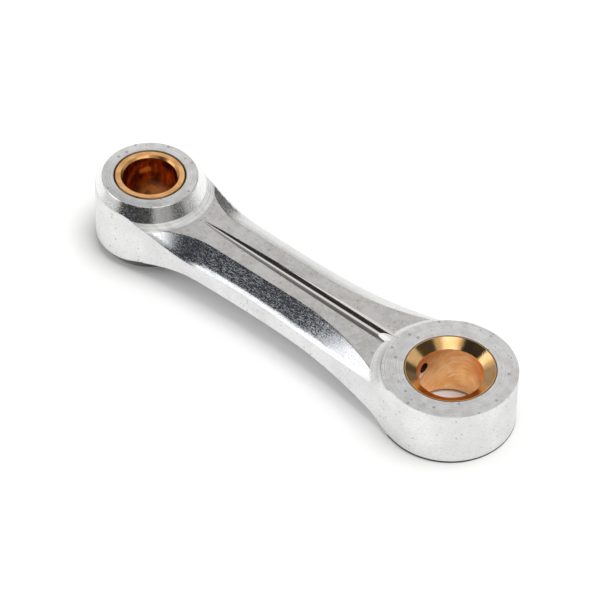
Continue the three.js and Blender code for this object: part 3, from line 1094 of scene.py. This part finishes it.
def turned_bush(name, place_x, corners, zone_bands, materials):
    """A bush turned from its profile. zone_bands lists the bands of materials 1, 2 and so on."""
    samples = rounded_profile(corners)
    zones = [0] * len(samples)
    for zone, bands in enumerate(zone_bands, 1):
        for band in bands:
            zones[band] = zone
    return turned_shell(samples, zones).make(name, place_x, materials)


def make_rod():
    materials = [
        side_material(), turned_face_material(), chamfer_material(), fillet_material(),
        bevel_material(), flat_material(), groove_material(), groove_shoulder_material(),
        bore_material(),
    ]
    rod = rod_shell().make("rod_body_visual", BIG_AXIS.x, materials)
    cut(rod, oil_drill().make("drill", BIG_AXIS.x, [bright_hole_material()]))
    apply_stored_normals(rod)
    ride_and_replace(rod, "rod_body")


def make_big_bush():
    """The big bush, with its wide upper chamfer and the oil outlet."""
    outer = BIG_BORE - BUSH_GAP
    width, depth = BIG_BUSH_CHAMFER
    corners = [
        (BIG_BUSH_BORE, BIG_HALF - depth),
        (BIG_BUSH_BORE, BIG_BUSH_LOWER_CHAMFER - BIG_HALF),
        (BIG_BUSH_BORE + BIG_BUSH_LOWER_CHAMFER, -BIG_HALF),
        (outer, -BIG_HALF),
        (outer, BIG_HALF),
        (BIG_BUSH_BORE + width, BIG_HALF),
    ]
    chamfer = range(band_after(4) + 1, band_after(5) + 1)
    materials = [
        big_bore_material(),
        bronze_material("bronze_chamfer", (1.0, 0.65, 0.32, 1), (0.9, 0.51, 0.2, 1), 0.08, 1, 0.3),
    ]
    bush = turned_bush("big_end_bush_visual", BIG_AXIS.x, corners, [chamfer], materials)
    cut(bush, oil_drill().make("drill", BIG_AXIS.x, [drilled_material()]))
    apply_stored_normals(bush)
    ride_and_replace(bush, "big_end_bush")


def make_small_bush():
    """The small bush, with the seam on its outer upper edge painted dark as shade."""
    outer = SMALL_BORE - BUSH_GAP
    corners = [
        (SMALL_BUSH_BORE, SMALL_HALF - SMALL_BUSH_CHAMFER),
        (SMALL_BUSH_BORE, SMALL_BUSH_CHAMFER - SMALL_HALF),
        (SMALL_BUSH_BORE + SMALL_BUSH_CHAMFER, -SMALL_HALF),
        (outer, -SMALL_HALF),
        (outer, SMALL_HALF - SEAM_WIDTH),
        (outer - SEAM_WIDTH, SMALL_HALF),
        (SMALL_BUSH_BORE + SMALL_BUSH_CHAMFER, SMALL_HALF),
    ]
    bore = range(band_after(0), band_after(0) + 2)
    seam = range(band_after(4) - 2, band_after(4) + 1)
    materials = [
        bronze_material("bronze_small", (0.86, 0.48, 0.2, 1), (0.74, 0.38, 0.14, 1), 0.2, 1, 0.15),
        small_bore_material(),
        seam_material(),
    ]
    bush = turned_bush("small_end_bush_visual", SMALL_AXIS.x, corners, [bore, seam], materials)
    apply_stored_normals(bush)
    ride_and_replace(bush, "small_end_bush")


# ---------------------------------------------------------------- floor, light and camera

REST_SMALL_X = -CENTRE_DISTANCE + SMALL_FACE_RADIUS    # where the rod's two ends touch the floor
REST_BIG_X = BIG_RADIUS
REST_RISE = SMALL_HALF - BIG_HALF + 0.05
FLOOR_GAP = 0.02
FLOOR_HALF = 3.0                # metres


def make_floor():
    """A white floor, tilted a little because the rod's thinner end drops onto it."""
    mesh = bpy.data.meshes.new("floor")
    corners = [(x * FLOOR_HALF, y * FLOOR_HALF, 0) for x, y in ((-1, -1), (1, -1), (1, 1), (-1, 1))]
    mesh.from_pydata(corners, [], [(0, 1, 2, 3)])
    floor = bpy.data.objects.new("floor", mesh)
    tilt = math.atan2(REST_RISE, REST_BIG_X - REST_SMALL_X)
    floor.rotation_euler = (0, -tilt, 0)
    floor.location = Vector((BIG_AXIS.x + REST_SMALL_X, 0, -FLOOR_GAP)) * MM
    bpy.context.scene.collection.objects.link(floor)
    material = bpy.data.materials.new("floor_white")
    material.use_nodes = True
    shader = material.node_tree.nodes["Principled BSDF"]
    shader.inputs["Base Color"].default_value = (0.9, 0.9, 0.9, 1)
    shader.inputs["Roughness"].default_value = 0.6
    shader.inputs["Specular IOR Level"].default_value = 0.1
    mesh.materials.append(material)


OPEN = 2.0                      # past the end of a direction's range

# What the metal reflects: the x, y and z ranges of the direction, how soft the edges are, and how
# bright it is. A later panel covers an earlier one.
STUDIO_PANELS = (
    ((-0.8, -0.42), (-0.8, 0.02), (0.2, OPEN), 0.05, 1.4),          # bright boxes
    ((0.01, 0.34), (-0.32, 0.0), (0.7, OPEN), 0.04, 1.4),
    ((-0.9, -0.2), (0.5, 0.75), (0.24, 0.85), 0.04, 1.0),
    ((-0.9, -0.2), (0.75, 0.9), (0.24, 0.6), 0.03, 0.3),
    ((0.5, 0.9), (-0.5, 0.1), (0.66, OPEN), 0.05, 1.5),
    ((0.66, OPEN), (-0.45, OPEN), (-0.1, 0.6), 0.05, 0.38),         # the dim room on the +x side
    ((0.6, OPEN), (-0.85, 0.2), (-0.1, 0.3), 0.05, 0.3),
    ((0.9, OPEN), (-0.06, 0.4), (0.1, 0.4), 0.05, 0.1),
    ((0.36, 0.62), (0.12, 0.6), (0.4, OPEN), 0.05, 0.05),
    ((-0.2, 0.2), (0.86, OPEN), (-0.1, 0.48), 0.05, 0.08),          # its back
    ((-OPEN, -0.85), (-0.2, OPEN), (-0.1, 0.5), 0.05, 0.35),        # its -x side
    ((-0.6, 0.6), (0.8, OPEN), (-0.1, 0.26), 0.03, 0.15),
    ((-0.35, 0.72), (-OPEN, -0.55), (0.04, 0.7), 0.08, 0.04),       # behind the camera
)
ROOM_LEVEL = 0.6
GAP_LEVEL = 0.035


def overhead_gap(nodes, x, y, z):
    """The dark gap overhead, from the camera's side. Its left edge leans in towards the camera."""
    near = nodes.math("MAXIMUM", nodes.math("SUBTRACT", -0.39, y), 0.0)
    lean = nodes.math("MAXIMUM", nodes.math("MULTIPLY_ADD", y, -0.5, -0.765), -0.655)
    left_edge = nodes.math(
        "MINIMUM",
        nodes.math("MULTIPLY_ADD", near, 3.0, lean),
        nodes.math("MULTIPLY_ADD", near, 0.5, -0.44),
    )
    right_edge = nodes.math("MULTIPLY_ADD", near, 0.3, -0.06)
    gap = nodes.ramp(nodes.math("SUBTRACT", x, left_edge), -0.02, 0.02)
    gap = nodes.times(gap, nodes.ramp(nodes.math("SUBTRACT", right_edge, x), -0.04, 0.04))
    gap = nodes.times(gap, nodes.band(y, -OPEN, 0.47, 0.05))
    return nodes.times(gap, nodes.band(z, 0.1, OPEN, 0.05))


def make_world():
    """A studio of soft panels in a dim room, plain white where the camera sees it directly."""
    world = bpy.data.worlds.new("studio")
    bpy.context.scene.world = world
    nodes = Nodes(world)
    x, y, z = nodes.axes(nodes.add("TexCoord").outputs["Generated"])

    def towards(level, mask, target):
        change = nodes.times(mask, nodes.math("SUBTRACT", target, level))
        return nodes.math("ADD", level, change)

    level = ROOM_LEVEL
    for x_range, y_range, z_range, soft, brightness in STUDIO_PANELS:
        mask = nodes.times(nodes.band(x, *x_range, soft), nodes.band(y, *y_range, soft))
        mask = nodes.times(mask, nodes.band(z, *z_range, soft))
        level = towards(level, mask, brightness)
    gap = overhead_gap(nodes, x, y, z)
    level = towards(level, gap, GAP_LEVEL)

    seen = nodes.add("LightPath").outputs["Is Camera Ray"]
    tint = nodes.mix(gap, (1.0, 0.99, 0.97, 1), (0.86, 0.94, 1.12, 1))
    studio = nodes.add("Background", {"Color": tint, "Strength": level})
    plain = nodes.add("Background", {"Color": (1, 1, 1, 1), "Strength": 1.0})
    mixed = nodes.add("MixShader", {0: seen, 1: studio.outputs[0], 2: plain.outputs[0]})
    nodes.add("OutputWorld", {"Surface": mixed.outputs[0]})


def make_light(name, energy, angle, direction):
    """A soft light from far away, with no reflection of its own."""
    light = bpy.data.lights.new(name, "SUN")
    light.energy = energy
    light.angle = math.radians(angle)
    lamp = bpy.data.objects.new(name, light)
    lamp.visible_glossy = False
    lamp.rotation_euler = Vector(direction).to_track_quat("Z", "Y").to_euler()
    bpy.context.scene.collection.objects.link(lamp)


VIEW_AZIMUTH = math.radians(40.02)
VIEW_ELEVATION = math.radians(44.09)
VIEW_ROLL = math.radians(1.69)
VIEW_DISTANCE = 381.6            # millimetres, from the aim point
VIEW_AIM = (0.85, -0.36, 3.75)
VIEW_LENS = 249.4                # on a 36 mm wide sensor


def make_camera():
    camera = bpy.data.cameras.new("camera")
    camera.sensor_width = 36
    camera.lens = VIEW_LENS
    camera.clip_start = 0.01
    camera.clip_end = 20
    viewer = bpy.data.objects.new("camera", camera)
    right = Vector((math.cos(VIEW_AZIMUTH), math.sin(VIEW_AZIMUTH), 0))
    back = Vector((
        math.sin(VIEW_AZIMUTH) * math.cos(VIEW_ELEVATION),
        -math.cos(VIEW_AZIMUTH) * math.cos(VIEW_ELEVATION),
        math.sin(VIEW_ELEVATION),
    ))
    up = back.cross(right)
    rolled_right = math.cos(VIEW_ROLL) * right + math.sin(VIEW_ROLL) * up
    rolled_up = math.cos(VIEW_ROLL) * up - math.sin(VIEW_ROLL) * right
    place = (Vector(VIEW_AIM) + VIEW_DISTANCE * back) * MM
    turn = Matrix((rolled_right, rolled_up, back)).transposed()
    viewer.matrix_world = Matrix.Translation(place) @ turn.to_4x4()
    bpy.context.scene.collection.objects.link(viewer)
    bpy.context.scene.camera = viewer


make_rod()
make_big_bush()
make_small_bush()
make_floor()
make_world()
make_light("overhead", 1.45, 35, (0.2, 0.1, 0.97))
make_light("room", 0.95, 178, (0.0, 0.0, 1.0))
make_camera()
bpy.context.scene.view_settings.view_transform = "Standard"
